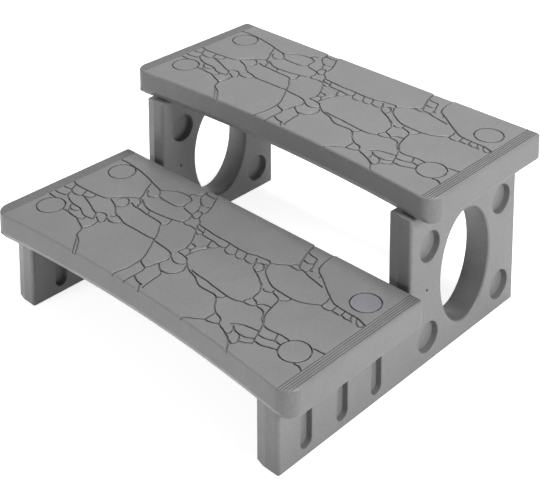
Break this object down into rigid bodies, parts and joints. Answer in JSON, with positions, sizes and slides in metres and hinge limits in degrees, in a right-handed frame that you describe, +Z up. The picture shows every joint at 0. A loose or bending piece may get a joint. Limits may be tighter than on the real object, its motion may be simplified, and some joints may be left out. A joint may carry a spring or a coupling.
{
  "type": "spa steps",
  "caption": "Spa steps: bowed, flagstone-textured plastic treads screwed onto stair-shaped hollow side panels with oval windows, the screws hidden under snap caps.",
  "frame": {"origin": "on the floor, at the centre of the footprint", "axes": "+X along the treads, to the right as one faces the steps; +Y from the front edge to the spa side; +Z up"},
  "size_m": [0.8, 0.7048, 0.356],
  "materials": {
    "tread_plastic": "stone-textured, satin",
    "panel_plastic": "smooth, satin",
    "cap_plastic": "fine grain, satin",
    "screw_steel": "zinc plated",
    "washer_steel": "zinc plated"
  },
  "bodies": {
    "steps": {"side_panel_left": "panel_plastic", "side_panel_right": "panel_plastic", "tread_lower": "tread_plastic", "tread_upper": "tread_plastic", "screw_lower_left_front": "screw_steel", "screw_lower_left_rear": "screw_steel", "screw_lower_right_front": "screw_steel", "screw_lower_right_rear": "screw_steel", "screw_upper_left_front": "screw_steel", "screw_upper_left_rear": "screw_steel", "screw_upper_right_front": "screw_steel", "screw_upper_right_rear": "screw_steel", "washer_lower_left_front": "washer_steel", "washer_lower_left_rear": "washer_steel", "washer_lower_right_front": "washer_steel", "washer_lower_right_rear": "washer_steel", "washer_upper_left_front": "washer_steel", "washer_upper_left_rear": "washer_steel", "washer_upper_right_front": "washer_steel", "washer_upper_right_rear": "washer_steel"},
    "lower_left_front_cap": {"cap_lower_left_front": "cap_plastic"},
    "lower_left_rear_cap": {"cap_lower_left_rear": "cap_plastic"},
    "lower_right_front_cap": {"cap_lower_right_front": "cap_plastic"},
    "lower_right_rear_cap": {"cap_lower_right_rear": "cap_plastic"},
    "upper_left_front_cap": {"cap_upper_left_front": "cap_plastic"},
    "upper_left_rear_cap": {"cap_upper_left_rear": "cap_plastic"},
    "upper_right_front_cap": {"cap_upper_right_front": "cap_plastic"},
    "upper_right_rear_cap": {"cap_upper_right_rear": "cap_plastic"}
  },
  "joints": [
    {"name": "lower_left_front_cap_lift", "type": "slide", "parent": "steps", "child": "lower_left_front_cap", "axis": [0, 0, 1], "range_m": [0, 0.03]},
    {"name": "lower_left_rear_cap_lift", "type": "slide", "parent": "steps", "child": "lower_left_rear_cap", "axis": [0, 0, 1], "range_m": [0, 0.03]},
    {"name": "lower_right_front_cap_lift", "type": "slide", "parent": "steps", "child": "lower_right_front_cap", "axis": [0, 0, 1], "range_m": [0, 0.03]},
    {"name": "lower_right_rear_cap_lift", "type": "slide", "parent": "steps", "child": "lower_right_rear_cap", "axis": [0, 0, 1], "range_m": [0, 0.03]},
    {"name": "upper_left_front_cap_lift", "type": "slide", "parent": "steps", "child": "upper_left_front_cap", "axis": [0, 0, 1], "range_m": [0, 0.03]},
    {"name": "upper_left_rear_cap_lift", "type": "slide", "parent": "steps", "child": "upper_left_rear_cap", "axis": [0, 0, 1], "range_m": [0, 0.03]},
    {"name": "upper_right_front_cap_lift", "type": "slide", "parent": "steps", "child": "upper_right_front_cap", "axis": [0, 0, 1], "range_m": [0, 0.03]},
    {"name": "upper_right_rear_cap_lift", "type": "slide", "parent": "steps", "child": "upper_right_rear_cap", "axis": [0, 0, 1], "range_m": [0, 0.03]}
  ]
}
